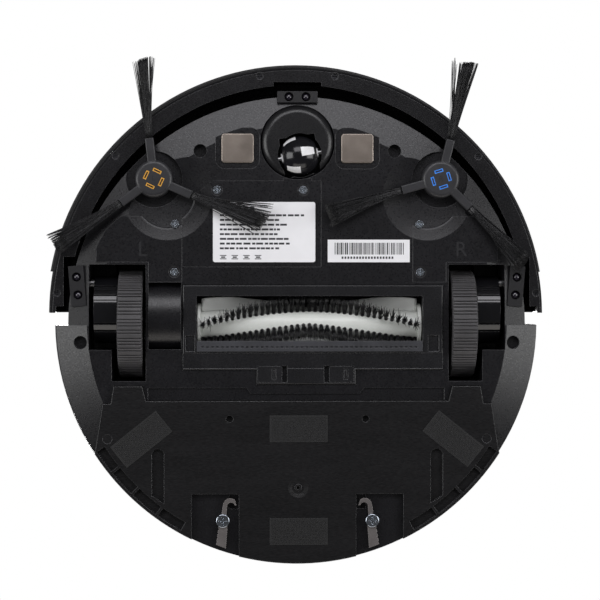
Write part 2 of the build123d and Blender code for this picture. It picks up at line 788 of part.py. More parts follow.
def brush_insert(side):
    """The four coloured frames that show which side the brush belongs to."""
    x = side * hub_x
    slot_angle = left_slot_angle if side < 0 else right_slot_angle
    frames = []
    for k in range(4):
        frame = block(4.25, 6.35, -2.85, 2.85, hub_z + 0.1, hub_z + 1.15)
        frame -= block(4.8, 5.8, -2.3, 2.3, hub_z, hub_z + 0.7)
        frames.append(Pos(x, hub_y, 0) * Rot(0, 0, slot_angle + 90 * k) * frame)
    return Compound(children=frames)


def brush_bristles(side, arm_angles):
    """The three tufts of a side brush, as plain tapered bundles that droop to the floor."""
    tufts = []
    for turn in arm_angles:
        near = Plane(origin=(arm_reach + seat, 0, hub_z + 2.4), x_dir=(0, 1, 0), z_dir=(1, 0, 0))
        far = Plane(origin=(bristle_reach, 0, 1.6), x_dir=(0, 1, 0), z_dir=(1, 0, 0))
        start = near * Rectangle(4.2, 2.4)
        end = far * Rectangle(13.0, 1.6)
        tuft = loft([start, end])
        tufts.append(Pos(side * hub_x, hub_y, 0) * Rot(0, 0, turn) * tuft)
    return Compound(children=tufts)


# ---- caster ----


def caster_place():
    """Moves a shape made about the caster's own axis to its place and rest angle."""
    return Pos(0, caster_y, 0) * Rot(0, 0, caster_turn)


def caster_cup():
    """The swivelling cup, domed below, with the well for the wheel and the shaft above."""
    cup = rod(caster_cup_radius, caster_cup_z, caster_roof_z - 0.5)
    cup = fillet(cup.faces().sort_by(Axis.Z)[0].edges(), 5.0)
    cup += rod(caster_shaft_radius, caster_roof_z - 0.6, caster_boss_z - 0.5)
    well = rod(caster_pocket_radius, 0, caster_wheel_radius * 2 + 1.5, 0, caster_trail)
    well += bar(caster_wheel_radius + 0.8, -caster_wheel_width / 2 - 0.7, caster_wheel_width / 2 + 0.7,
                caster_trail, caster_wheel_radius)
    cup -= well
    cup -= bar(caster_axle_radius, -16.0, 16.0, caster_trail, caster_wheel_radius)
    return caster_place() * cup


def caster_axle():
    """The steel pin of the caster wheel, pressed into the cup."""
    return caster_place() * bar(caster_axle_radius, -16.0, 16.0, caster_trail, caster_wheel_radius)


def barrel(half_width, radius, end_radius):
    """A barrel about X whose middle is wider than its ends."""
    reach = half_width / math.sqrt(1 - (end_radius / radius) ** 2)
    profile = Ellipse(reach, radius) & Pos(0, radius / 2) * Rectangle(2 * half_width, radius)
    return revolve(profile, Axis.X, 360)


def caster_wheel():
    """The barrel-shaped wheel of the caster."""
    wheel = barrel(caster_wheel_width / 2, caster_wheel_radius, caster_wheel_end_radius)
    wheel -= bar(caster_axle_radius + running_fit, -20, 20, 0, 0)
    return caster_place() * Pos(0, caster_trail, caster_wheel_radius) * wheel


# ---- main brush ----
def roller_core():
    """The core of the main brush with its end discs, drive stub and pulley."""
    x0, x1 = window_x0 + 0.6, window_x1 - 0.6
    core = bar(roller_core_radius, x0, x1, roller_y, roller_z)
    core += bar(14.0, x0, x0 + 2, roller_y, roller_z)
    core += bar(14.0, x1 - 2, x1, roller_y, roller_z)
    core += bar(4.0, belt_x0 - 2, x0, roller_y, roller_z)
    core += bar(brush_pulley_radius, belt_x0, belt_x1, roller_y, roller_z)
    return core + bar(3.0, x1, x1 + 8.0, roller_y, roller_z)


def fin(row, inner, outer, thick, steps=7):
    """One bowed fin along the main brush, with its point at the middle, leading its ends by the sweep."""
    phase = first_row_angle + 360.0 / fin_rows * row
    middle = (window_x0 + window_x1) / 2
    half = (window_x1 - window_x0) / 2 - 3.0
    depth = outer - inner
    halves = []
    for side in (-1, 1):
        sections = []
        for k in range(steps + 1):
            turn = math.radians(phase + fin_sweep * (k / steps) ** fin_bow)
            out = (0, math.sin(turn), -math.cos(turn))
            reach = inner + depth / 2
            x = middle + side * half * k / steps
            origin = (x, roller_y + reach * out[1], roller_z + reach * out[2])
            sections.append(Plane(origin=origin, x_dir=out, z_dir=(1, 0, 0)) * Rectangle(depth, thick))
        halves.append(loft(sections, ruled=True))
    return halves[0] + halves[1]


def roller_bristles():
    """The rows of black bristles, as plain V-shaped walls."""
    tip = roller_bristle_radius - 0.3
    return Compound(children=[fin(row, roller_core_radius + 0.08, tip, 2.6) for row in bristle_rows])


def roller_blades():
    """The soft white blades between the rows of bristles."""
    tip = roller_blade_radius
    return Compound(children=[fin(row, roller_core_radius + 0.08, tip, 2.4) for row in blade_rows])


def brush_guard():
    """The lift-off frame under the main brush."""
    top = guard_z + guard_thickness
    frame = prism(guard_plan(), guard_z, top)
    frame = fillet(frame.faces().sort_by(Axis.Z)[0].outer_wire().edges(), 0.8)
    frame -= block(window_x0, window_x1, window_y0, window_y1, 0, top + 1)
    frame -= bar(roller_bristle_radius + 0.4, window_x0, window_x1, roller_y, roller_z)
    frame -= block(-72.2, -66.2, 13.8, 24.2, guard_z - 1, guard_z + 1.2)
    frame -= block(84.5, 91.5, 13.8, 24.2, guard_z - 1, guard_z + 1.2)
    frame -= block(guard_x0 - 1, guard_x1 + 1, window_y1 + 1.0, guard_y1 - 0.8, guard_z - 1, guard_z + 0.5)
    for side in (-1, 1):
        x0, x1 = latch_span(side)
        slide = latch_travel if side < 0 else -latch_travel
        frame -= block(min(x0, x0 + slide) - gap, max(x1, x1 + slide) + gap,
                       latch_y0 - gap, latch_y1 + gap, guard_z - 1, top - 1)
    return frame


def latch_span(side):
    """Where a guard latch starts and ends along X."""
    start = latch_bay_x0 + 0.7 if side < 0 else latch_bay_x1 - 1.4 - latch_width
    return (start, start + latch_width)


def guard_latch(side):
    """A sliding latch of the guard with a raised mark for the finger."""
    x0, x1 = latch_span(side)
    top = guard_z + guard_thickness - 1 - 0.1
    latch = rounded_block(x0, x1, latch_y0, latch_y1, guard_z - 0.2, top, 0.8)
    mark = x0 + 10.6
    latch -= block(mark - 1.4, mark + 1.4, latch_y0 + 1.6, latch_y1 - 1.6, guard_z - 1, guard_z + 0.5)
    return latch + block(mark - 0.8, mark + 0.8, latch_y0 + 2.4, latch_y1 - 2.4, guard_z - 0.2, guard_z + 1)


def guard_comb():
    """The soft comb along the rear of the guard's window."""
    y0, y1 = 17.4, window_y1 - seat
    comb = block(window_x0 + 0.3, window_x1 - 0.3, y0, y1, guard_z - 1.2, guard_z + guard_thickness)
    comb -= bar(roller_bristle_radius + 0.4, window_x0, window_x1, roller_y, roller_z)
    pitch = 3.2
    for k in range(int((window_x1 - window_x0 - 4) / pitch)):
        x = window_x0 + 3.0 + pitch * k
        comb -= block(x, x + 2.0, y0 + 3.4, y0 + 4.6, guard_z - 2, guard_z - 0.4)
    return comb


# ---- drive wheels, made for the right side ----


def wheel_rim():
    """The hard wheel with its axle, which reaches into the gearbox."""
    x0, x1 = wheel_x - wheel_width / 2, wheel_x + wheel_width / 2
    inner = wheel_radius - tyre_thickness
    rim = bar(inner, x0 + 0.5, x1 - 0.5, wheel_y, wheel_radius)
    ring = bar(inner - 3, x0, x0 + 5, wheel_y, wheel_radius) - bar(9, x0, x0 + 5, wheel_y, wheel_radius)
    rim -= ring
    for k in range(5):
        arm = Pos(x0 + 1.5, wheel_y, wheel_radius) * Rot(72 * k, 0, 0) * block(0, 4, -2, 2, 8, inner - 2)
        rim += arm
    return rim + bar(axle_radius, x1 - 0.6, gearbox_out_x - 3, wheel_y, wheel_radius)


def tyre():
    """The rubber tyre with its cross ribs."""
    x0, x1 = wheel_x - wheel_width / 2, wheel_x + wheel_width / 2
    ring = bar(wheel_radius, x0, x1, wheel_y, wheel_radius)
    ring -= bar(wheel_radius - tyre_thickness, x0, x1, wheel_y, wheel_radius)
    groove = block(x0 - 1, x1 + 1, -0.7, 0.7, wheel_radius - tyre_groove, wheel_radius + 1)
    grooves = [Pos(0, wheel_y, wheel_radius) * Rot(360.0 / tyre_ribs * (k + 0.5), 0, 0) * groove
               for k in range(tyre_ribs)]
    return ring - grooves


def wheel_gearbox():
    """The swinging gearbox beside the wheel, a ridged drum."""
    x0, x1 = gearbox_in_x, gearbox_out_x
    drum = bar(gearbox_radius, x0, x1, gearbox_y, gearbox_z)
    for turn in (-42, -33, -24, -15, 24, 38):
        ridge = block(x0 - 1, x1 + 1, -0.8, 0.8, gearbox_radius - 1.2, gearbox_radius + 1)
        drum -= Pos(0, gearbox_y, gearbox_z) * Rot(turn + 180, 0, 0) * ridge
    drum -= bar(pin_radius + running_fit, x0 - 1, x1 + 1, pivot_y, pivot_z)
    return drum - bar(axle_radius + running_fit, x0 - 1, x1 - 2.5, wheel_y, wheel_radius)


# ---- dust bin and mop plate ----


def bin_shell():
    """The open-topped bin that slides out at the rear."""
    floor = mop_z + mop_thickness + seat
    shell = prism(bin_plan(), floor, bin_top_z)
    shell -= outer_cone(rear_centre_y, mop_radius, rear_radius, floor, flare_top_z)
    shell -= prism(bin_plan(bin_wall, rear_radius - rear_flare), floor + bin_wall, flare_top_z)
    shell -= prism(bin_plan(bin_wall), flare_top_z, bin_top_z)
    shell -= block(-duct_half_width, duct_half_width, 55, 75, duct_z0, duct_z1)
    cuts = rod(2.0 + seat, 0, floor + 8, lever_x, lever_y)
    pocket = outline((43.9, 127.0), (37.8, 152.8), (45.6, 152.8))
    cuts += prism(pocket, 0, floor + 1.2)
    cuts += block(notch_x0, 44.2, notch_y + 0.6, 126.0, 0, floor + 1.2)
    shell += rod(4.5, floor + 1, floor + 9, lever_x, lever_y) + rod(4.5, floor + 1, floor + 9, -lever_x, lever_y)
    return shell - cuts - flipped(cuts)


def bin_lid():
    """The lid of the bin, which drops in between its walls."""
    return prism(bin_plan(bin_wall + 0.1), bin_top_z - 3.0, bin_top_z)


def bin_filter():
    """The pleated filter under the lid."""
    block_top = bin_top_z - 3.0 - seat
    body = block(-58, 58, 96, 136, block_top - 9.0, block_top)
    for k in range(18):
        body -= block(-54 + 6 * k, -51 + 6 * k, 99, 133, block_top - 10, block_top - 2)
    return body


def pad_places():
    """Centre and turn of the four hook pads."""
    return [(0.7, 74.0, 0.0), (0.7, 140.2, 0.0), (-100.6, 80.6, -38.6), (100.6, 80.6, 38.6)]


def hook_pads():
    """The four patches of hook fabric that hold the mop cloth."""
    pads = []
    for x, y, turn in pad_places():
        pad = Box(pad_length, pad_width, pad_proud, align=UPRIGHT)
        pads.append(Pos(x, y, mop_z - pad_proud) * Rot(0, 0, turn) * pad)
    return Compound(children=pads)


def lever_outline():
    """Plan of the right lever: a hook, a stem, a round middle and a ribbed tail."""
    hook = (Pos(43.4, 123.4) * Circle(4.6)) - (Pos(42.9, 124.0) * Circle(2.5))
    hook -= Pos(42.0, 127.4) * Rectangle(9.6, 8.0)
    hook -= outline((40.4, 120.0), (36.0, 118.0), (36.0, 124.0), (39.2, 124.0))
    stem = outline((45.3, 122.6), (48.0, 122.6), (49.2, 130.5), (45.9, 130.5))
    middle = Pos(lever_x, lever_y) * Circle(3.9)
    tail = outline((45.0, 134.0), (50.4, 134.0), (52.6, 148.6), (46.2, 151.0))
    plan = hook + stem + middle + tail
    for k in range(4):
        plan -= Pos(51.4 + 0.46 * k, 138.6 + 2.8 * k) * Rectangle(1.4, 1.2)
    return plan - Pos(lever_x, lever_y) * Circle(1.8 + running_fit)


def release_lever():
    """The right release lever of the bin."""
    return prism(lever_outline(), lever_z, lever_z + lever_thickness)


def lever_screws():
    """The two pan-head screws that the levers turn on."""
    top = lever_z - 0.1
    body = rod(4.4, top - 1.6, top, lever_x, lever_y)
    body = fillet(body.faces().sort_by(Axis.Z)[0].edges(), 0.7)
    body += rod(1.8, top, top + 9.0, lever_x, lever_y)
    for size in ((2.6, 0.4), (0.4, 2.6)):
        body -= block(lever_x - size[0], lever_x + size[0], lever_y - size[1], lever_y + size[1],
                      top - 2, top - 0.7)
    return Compound(children=both(body))


def mop_plate():
    """The plate under the bin that carries the mop cloth."""
    plate = prism(mop_plan(), mop_z, mop_z + mop_thickness)
    plate = chamfer(plate.faces().sort_by(Axis.Z)[0].outer_wire().edges(), 0.4)
    top = mop_z + mop_thickness
    cuts = block(notch_x0, notch_x1, notch_y, 200, 0, top + 1)
    slot = outline((86.0, 90.0), (93.9, 90.0), (93.9, 117.2), (86.0, 122.2)) + Pos(89.95, 90.8) * Circle(3.95)
    cuts += prism(slot, 0, mop_z + 2.6)
    cuts += rod(2.3, 0, mop_z + 3.0, 43.9, 67.7)
    cuts += rod(3.0, 0, mop_z + 0.3, 122.3, 80.5)
    ring = rod(cell_out, 0, mop_z + 3.0, 0, rear_centre_y) - rod(cell_in, 0, mop_z + 3.0, 0, rear_centre_y)
    for first, last in zip(cell_angles, cell_angles[1:]):
        wedge = outline((0, rear_centre_y), polar(300, 180 - first + 0.3, rear_centre_y),
                        polar(300, 180 - last - 0.3, rear_centre_y))
        cuts += ring & prism(wedge, 0, 20)
    plate -= cuts
    plate -= flipped(cuts)
    plate -= Pos(0.4, 112.0, mop_z) * Cone(6.5, 4.0, 0.6, align=UPRIGHT)
    plate += rod(2.3, mop_z, mop_z + 1.0, 0.4, 112.0)
    return plate - rod(1.1, mop_z - 1, mop_z + 2.0, 0.4, 112.0)


# ---- write one file for each piece ----
def write_parts():
    """Builds every piece and saves it under its own name."""
    os.makedirs("parts", exist_ok=True)
    rim, rubber, drum, lever = wheel_rim(), tyre(), wheel_gearbox(), release_lever()
    pieces = {
        "base_chassis": base_chassis(),
        "wheel_covers": Compound(children=both(wheel_cover())),
        "battery_cover": battery_cover(),
        "battery_pack": battery_pack(),
        "chassis_screws": chassis_screws(),
        "brush_gearbox_cover": brush_gearbox_cover(),
        "brush_chamber": brush_chamber(),
        "suction_duct": suction_duct(),
        "main_brush_motor": main_brush_motor(),
        "motor_pulley": motor_pulley(),
        "drive_belt": drive_belt(),
        "main_board": main_board(),
        "blower_housing": blower_housing(),
        "blower_motor": blower_motor(),
        "blower_impeller": blower_impeller(),
        "side_brush_motors": side_brush_motors(),
        "bumper_switches": bumper_switches(),
        "charging_contacts": charging_contacts(),
        "cliff_housings": cliff_housings(),
        "cliff_lenses": cliff_lenses(),
        "labels": labels(),
        "pivot_pins": pivot_pins(),
        "top_housing": top_housing(),
        "top_plate": top_plate(),
        "status_light": status_light(),
        "power_button": top_button(-1),
        "home_button": top_button(1),
        "bumper_shell": bumper_shell(),
        "bumper_screws": bumper_screws(),
        "bumper_strip": bumper_strip(),
        "left_brush_hub": brush_hub(-1, left_arm_angles),
        "left_brush_insert": brush_insert(-1),
        "left_brush_bristles": brush_bristles(-1, left_arm_angles),
        "right_brush_hub": brush_hub(1, right_arm_angles),
        "right_brush_insert": brush_insert(1),
        "right_brush_bristles": brush_bristles(1, right_arm_angles),
        "caster_cup": caster_cup(),
        "caster_axle": caster_axle(),
        "caster_wheel": caster_wheel(),
        "roller_core": roller_core(),
        "roller_bristles": roller_bristles(),
        "roller_blades": roller_blades(),
        "brush_guard": brush_guard(),
        "guard_comb": guard_comb(),
        "guard_latch_left": guard_latch(-1),
        "guard_latch_right": guard_latch(1),
        "rim_left": flipped(rim),
        "rim_right": rim,
        "tyre_left": flipped(rubber),
        "tyre_right": rubber,
        "gearbox_left": flipped(drum),
        "gearbox_right": drum,
        "bin_shell": bin_shell(),
        "bin_filter": bin_filter(),
        "mop_plate": mop_plate(),
        "hook_pads": hook_pads(),
        "bin_lid": bin_lid(),
        "release_lever_left": flipped(lever),
        "release_lever_right": lever,
        "lever_screws": lever_screws(),
    }
    for name, piece in pieces.items():
        export_step(piece, f"parts/{name}.step")


if __name__ == "__main__":
    write_parts()
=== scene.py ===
import json
import math
import random

import bmesh
import bpy
import numpy as np
from mathutils import Matrix, Vector


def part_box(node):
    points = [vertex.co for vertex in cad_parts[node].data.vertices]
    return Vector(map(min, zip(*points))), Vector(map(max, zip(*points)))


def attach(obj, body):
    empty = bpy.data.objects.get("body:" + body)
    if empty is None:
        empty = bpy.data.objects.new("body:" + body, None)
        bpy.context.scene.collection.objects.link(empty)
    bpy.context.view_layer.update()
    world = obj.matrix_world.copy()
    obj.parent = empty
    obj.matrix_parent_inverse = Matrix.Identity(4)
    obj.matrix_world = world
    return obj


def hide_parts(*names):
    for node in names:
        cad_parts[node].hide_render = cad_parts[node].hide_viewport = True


# The looks of the robot vacuum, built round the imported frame, in metres.
# The floor is z = 0, +Z is up, and the front is towards -Y. The picture shows the underside.

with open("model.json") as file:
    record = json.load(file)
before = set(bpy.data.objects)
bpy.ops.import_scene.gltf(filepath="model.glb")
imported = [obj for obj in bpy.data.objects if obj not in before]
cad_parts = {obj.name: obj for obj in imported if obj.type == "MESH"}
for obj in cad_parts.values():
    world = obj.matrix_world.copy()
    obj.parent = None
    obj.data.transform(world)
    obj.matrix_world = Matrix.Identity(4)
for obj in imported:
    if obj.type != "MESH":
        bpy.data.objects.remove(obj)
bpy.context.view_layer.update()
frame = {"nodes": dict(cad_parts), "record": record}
random.seed(11)

MM = 0.001
DOWN = Vector((0, 0, -1))

# ---- what repeats the CAD's own numbers ----
ROLLER_CORE = 9.0 * MM        # radius that the bristles and blades stand on
ROW_COUNT = 5                 # rows round the main brush
BRISTLE_ROWS = (0, 1, 3)
BLADE_ROWS = (2, 4)
ROW_START = -70.0             # angle of the first row at the middle, from straight down
ROW_SWEEP = 72.0
ROW_BOW = 1.3
TYRE_DEPTH = 8.0 * MM
BARREL_END = 7.0 * MM         # radius of the caster wheel at its ends
BARREL_HALF = 11.0 * MM       # half its width
LARGE_LABEL = (66.1 * MM, 38.9 * MM)
LONG_LABEL = (53.1 * MM, 14.6 * MM)


# ---- materials ----
def link(tree, source, target):
    """Joins two sockets of a node tree."""
    tree.links.new(source, target)


def noise(tree, coords, size, detail=2.0):
    """A noise pattern whose features are about that many millimetres across."""
    made = tree.nodes.new("ShaderNodeTexNoise")
    made.inputs["Scale"].default_value = 1.0 / (size * MM)
    made.inputs["Detail"].default_value = detail
    link(tree, coords, made.inputs["Vector"])
    return made.outputs["Fac"]


def remap(tree, value, low, high, new_low, new_high):
    """A value stretched from one range to another, and kept inside it."""
    made = tree.nodes.new("ShaderNodeMapRange")
    for name, number in (("From Min", low), ("From Max", high), ("To Min", new_low), ("To Max", new_high)):
        made.inputs[name].default_value = number
    link(tree, value, made.inputs["Value"])
    return made.outputs["Result"]


def blend_colours(tree, factor, first, second):
    """A colour mix. Each colour is a tuple or a socket."""
    made = tree.nodes.new("ShaderNodeMix")
    made.data_type = "RGBA"
    link(tree, factor, made.inputs["Factor"])
    for name, colour in (("A", first), ("B", second)):
        socket = next(s for s in made.inputs if s.name == name and s.type == "RGBA")
        if isinstance(colour, tuple):
            socket.default_value = (*colour, 1.0)
        else:
            link(tree, colour, socket)
    return next(s for s in made.outputs if s.type == "RGBA")


def edge_wear_and_highlight(tree, rounded, reach):
    """How far the rounded normal leaves the true one: near 1 along edges and 0 on faces. It drives the edge
    lightening, part rubbed wear and part painted highlight.
    """
    true_normal = tree.nodes.new("ShaderNodeNewGeometry").outputs["Normal"]
    dot = tree.nodes.new("ShaderNodeVectorMath")
    dot.operation = "DOT_PRODUCT"
    link(tree, rounded, dot.inputs[0])
    link(tree, true_normal, dot.inputs[1])
    return remap(tree, dot.outputs["Value"], 1.0, 0.8, 0.0, reach)


def finish_of(name, colour, rough, grain=0.03, grain_size=0.8, mottle=0.2, mottle_size=14.0,
              rough_spread=0.08, edge=0.35, wear_and_highlight=0.0, worn_and_highlight_colour=(0.2, 0.2, 0.21), metal=0.0, coat=0.0,
              stretch=(1, 1, 1), sheen=0.0):
    """A surface with colour patches and fine grain, whose edges are rounded and lightened: part rubbed wear,
    part painted highlight.
    """
    made = bpy.data.materials.new(name)
    made.use_nodes = True
    tree = made.node_tree
    shader = tree.nodes["Principled BSDF"]
    shader.inputs["Metallic"].default_value = metal
    shader.inputs["Coat Weight"].default_value = coat
    shader.inputs["Coat Roughness"].default_value = 0.08
    shader.inputs["Sheen Weight"].default_value = sheen
    mapping = tree.nodes.new("ShaderNodeMapping")
    mapping.inputs["Scale"].default_value = stretch
    link(tree, tree.nodes.new("ShaderNodeTexCoord").outputs["Object"], mapping.inputs["Vector"])
    coords = mapping.outputs["Vector"]
    patches = noise(tree, coords, mottle_size, 4.0)
    grains = noise(tree, coords, grain_size, 3.0)
    dark = tuple(c * (1 - mottle) for c in colour)
    light = tuple(min(1.0, c * (1 + mottle)) for c in colour)
    tone = blend_colours(tree, remap(tree, patches, 0.3, 0.7, 0.0, 1.0), dark, light)
    bevel = tree.nodes.new("ShaderNodeBevel")
    bevel.samples = 4
    bevel.inputs["Radius"].default_value = edge * MM
    # Edges lightened towards a lighter colour: part rubbed wear, part painted highlight where rounded edges
    # catch the light.
    if wear_and_highlight:
        tone = blend_colours(tree, edge_wear_and_highlight(tree, bevel.outputs["Normal"], wear_and_highlight), tone, worn_and_highlight_colour)
    link(tree, tone, shader.inputs["Base Color"])
    spread = remap(tree, grains, 0.3, 0.7, rough - rough_spread, rough + rough_spread)
    link(tree, spread, shader.inputs["Roughness"])
    bump = tree.nodes.new("ShaderNodeBump")
    bump.inputs["Distance"].default_value = grain * MM
    link(tree, grains, bump.inputs["Height"])
    link(tree, bevel.outputs["Normal"], bump.inputs["Normal"])
    link(tree, bump.outputs["Normal"], shader.inputs["Normal"])
    return made


BLACK = (0.0075, 0.0073, 0.0088)
GREY = (0.022, 0.0215, 0.024)
# The edge lightening set here is part rubbed wear and part painted highlight.
LOOKS = {
    "chassis_plastic": dict(colour=BLACK, rough=0.32, grain=0.035, grain_size=0.9, wear_and_highlight=0.5),
    "inner_plastic": dict(colour=BLACK, rough=0.5),
    "battery_wrap": dict(colour=(0.03, 0.1, 0.32), rough=0.3, grain=0.01),
    "screw_steel": dict(colour=(0.62, 0.68, 0.76), rough=0.22, metal=1.0, grain=0.01, edge=0.15),
    "dark_screw": dict(colour=(0.05, 0.05, 0.055), rough=0.35, metal=0.8, grain=0.01, edge=0.15),
    "motor_steel": dict(colour=(0.5, 0.5, 0.51), rough=0.35, metal=1.0, stretch=(0.2, 4, 4)),
    "drive_rubber": dict(colour=(0.012, 0.012, 0.012), rough=0.6),
    "board_green": dict(colour=(0.01, 0.12, 0.05), rough=0.35),
    "switch_plastic": dict(colour=GREY, rough=0.4),
    "contact_nickel": dict(colour=(0.36, 0.31, 0.27), rough=0.4, metal=1.0, grain=0.012, grain_size=0.6,
                           edge=0.7, wear_and_highlight=0.9, worn_and_highlight_colour=(0.95, 0.88, 0.8)),
    "lens": dict(colour=(0.02, 0.017, 0.026), rough=0.06, rough_spread=0.03, grain=0.0, coat=1.0),
    "label_paper": dict(colour=(0.88, 0.88, 0.9), rough=0.45, mottle=0.03, grain=0.006, edge=0.05),
    "top_plastic": dict(colour=BLACK, rough=0.4, grain=0.04, wear_and_highlight=0.4),
    "top_gloss": dict(colour=(0.006, 0.006, 0.007), rough=0.1, rough_spread=0.05, grain=0.002, coat=1.0),
    "light_window": dict(colour=(0.7, 0.75, 0.8), rough=0.2, mottle=0.05, grain=0.0),
    "button_gloss": dict(colour=(0.012, 0.012, 0.013), rough=0.16, grain=0.002, coat=0.6, wear_and_highlight=0.5),
    "pulley_plastic": dict(colour=(0.62, 0.61, 0.58), rough=0.4, mottle=0.06),
    "bumper_plastic": dict(colour=(0.0085, 0.0083, 0.0095), rough=0.28, grain=0.02, grain_size=0.6, wear_and_highlight=0.7),
    "bumper_rubber": dict(colour=(0.01, 0.01, 0.0105), rough=0.55, grain=0.03, wear_and_highlight=0.4),
    "hub_satin": dict(colour=(0.03, 0.03, 0.033), rough=0.36, grain=0.03, grain_size=0.5, wear_and_highlight=0.6),
    "insert_yellow": dict(colour=(0.78, 0.4, 0.06), rough=0.3, mottle=0.1, grain=0.0, edge=0.1),
    "insert_blue": dict(colour=(0.06, 0.28, 0.9), rough=0.3, mottle=0.1, grain=0.0, edge=0.1),
    "bristle": dict(colour=(0.01, 0.01, 0.011), rough=0.3, mottle=0.5, mottle_size=2.0, grain=0.0, edge=0.05),
    "cup_satin": dict(colour=(0.011, 0.011, 0.012), rough=0.3, grain=0.03, grain_size=0.5, wear_and_highlight=0.6),
    "caster_gloss": dict(colour=(0.009, 0.009, 0.011), rough=0.16, grain=0.004, mottle=0.3),
    "roller_white": dict(colour=(0.72, 0.74, 0.7), rough=0.3, mottle=0.05, grain=0.01),
    "blade_white": dict(colour=(0.9, 0.91, 0.89), rough=0.45, mottle=0.04, grain=0.01),
    "guard_plastic": dict(colour=(0.011, 0.011, 0.0125), rough=0.3, grain=0.03, wear_and_highlight=0.8),
    "comb_rubber": dict(colour=(0.035, 0.036, 0.042), rough=0.5, grain=0.02, wear_and_highlight=0.5),
    "gearbox_gloss": dict(colour=(0.006, 0.006, 0.007), rough=0.12, rough_spread=0.04, grain=0.006, coat=0.5),
    "rim_plastic": dict(colour=BLACK, rough=0.3),
    "tyre_rubber": dict(colour=(0.062, 0.06, 0.063), rough=0.55, grain=0.05, grain_size=0.5, wear_and_highlight=0.5,
                        worn_and_highlight_colour=(0.3, 0.29, 0.3)),
    "bin_plastic": dict(colour=BLACK, rough=0.34, grain=0.02, wear_and_highlight=0.4),
    "filter_paper": dict(colour=(0.78, 0.78, 0.74), rough=0.8, mottle=0.05),
    "mop_plastic": dict(colour=(0.0085, 0.0083, 0.009), rough=0.32, grain=0.025, stretch=(0.3, 1.6, 1),
                        wear_and_highlight=0.6),
    "hook_fabric": dict(colour=(0.009, 0.009, 0.0095), rough=0.6, mottle=0.4, mottle_size=1.0, grain=0.0,
                        edge=0.05, sheen=0.15),
    "lever_grey": dict(colour=(0.12, 0.11, 0.108), rough=0.4, grain=0.02, wear_and_highlight=0.6, worn_and_highlight_colour=(0.6, 0.57, 0.55)),
}
MATERIALS = {slot: finish_of(slot, **look) for slot, look in LOOKS.items()}
WHITE_INLAY = finish_of("white_inlay", (0.86, 0.86, 0.87), 0.3, mottle=0.03, grain=0.004)
PRINT_INK = finish_of("print_ink", (0.03, 0.03, 0.034), 0.5, mottle=0.3, mottle_size=2.0, grain=0.0,
                      edge=0.02)
MARK_GREY = finish_of("mark_grey", (0.016, 0.016, 0.018), 0.4, mottle=0.2, grain=0.01, edge=0.05)
# A dark colour painted as the shade inside the hub slots.
SLOT_SHADE = finish_of("slot_shade", (0.02, 0.01, 0.006), 0.4, grain=0.0)


def dress_nodes():
    """Gives every CAD node the finish of its material slot."""
    for part in frame["record"]["subparts"]:
        shown = frame["nodes"][part["node"]]
        for k in range(len(shown.material_slots)):
            shown.material_slots[k].material = MATERIALS[part["material_slot"]]


# ---- meshes ----
class Build:
    """The points and faces of one piece, collected before its mesh is made."""

    def __init__(self):
        self.points = []
        self.faces = []

    def add(self, points, faces):
        """Adds a closed shape."""
        start = len(self.points)
        self.points += [tuple(p) for p in points]
        self.faces += [tuple(start + i for i in face) for face in faces]

    def box(self, centre, halves, axes=(Vector((1, 0, 0)), Vector((0, 1, 0)), Vector((0, 0, 1)))):
        """A box from its centre, half sizes and three directions."""
        signs = [(x, y, z) for z in (-1, 1) for y in (-1, 1) for x in (-1, 1)]
        corners = [centre + sum((axes[i] * halves[i] * s[i] for i in range(3)), Vector()) for s in signs]
        sides = [(0, 2, 3, 1), (4, 5, 7, 6), (0, 1, 5, 4), (2, 6, 7, 3), (0, 4, 6, 2), (1, 3, 7, 5)]
        self.add(corners, sides)

    def tube(self, path, radii, sides, level):
        """A tube along the path. level is a direction that is never along the path."""
        rings = []
        for k, point in enumerate(path):
            along = (path[min(k + 1, len(path) - 1)] - path[max(k - 1, 0)]).normalized()
            across = along.cross(level).normalized()
            lift = across.cross(along)
            for j in range(sides):
                turn = 2 * math.pi * j / sides
                rings.append(point + (across * math.cos(turn) + lift * math.sin(turn)) * radii[k])
        self.rings(rings, len(path), sides)

    def rings(self, points, count, sides):
        """Rings of points joined into a closed skin with flat ends."""
        faces = [tuple(range(sides))[::-1], tuple((count - 1) * sides + j for j in range(sides))]
        for k in range(count - 1):
            for j in range(sides):
                a, b = k * sides + j, k * sides + (j + 1) % sides
                faces.append((a, b, b + sides, a + sides))
        self.add(points, faces)

    def piece(self, name, body, slot, material, smooth=False, stands_for=()):
        """Makes the mesh, with its faces turned outwards, and lets it ride on a body."""
        mesh = bpy.data.meshes.new(name)
        mesh.from_pydata(self.points, [], self.faces)
        shape = bmesh.new()
        shape.from_mesh(mesh)
        bmesh.ops.recalc_face_normals(shape, faces=shape.faces)
        shape.to_mesh(mesh)
        shape.free()
        for face in mesh.polygons:
            face.use_smooth = smooth
        mesh.materials.append(material)
        made = bpy.data.objects.new(name, mesh)
        bpy.context.scene.collection.objects.link(made)
        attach(made, body)
        if stands_for:
            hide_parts(*stands_for)
        return made


def solids(node):
    """The corners of each separate solid of a CAD node, in order of their middles."""
    shape = bmesh.new()
    shape.from_mesh(frame["nodes"][node].data)
    bmesh.ops.remove_doubles(shape, verts=shape.verts, dist=1e-6)
    left, found = set(shape.verts), []
    while left:
        reach, group = [left.pop()], []
        while reach:
            vert = reach.pop()
            group.append(tuple(vert.co))
            others = [edge.other_vert(vert) for edge in vert.link_edges]
            fresh = [v for v in others if v in left]
            left.difference_update(fresh)
            reach += fresh
        found.append(np.array(sorted(group)))
    shape.free()
    return sorted(found, key=lambda g: (round(g[:, 0].mean(), 4), round(g[:, 1].mean(), 4)))


def centre_of(node):
    """The middle of a CAD node's box."""
    low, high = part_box(node)
    return (low + high) / 2


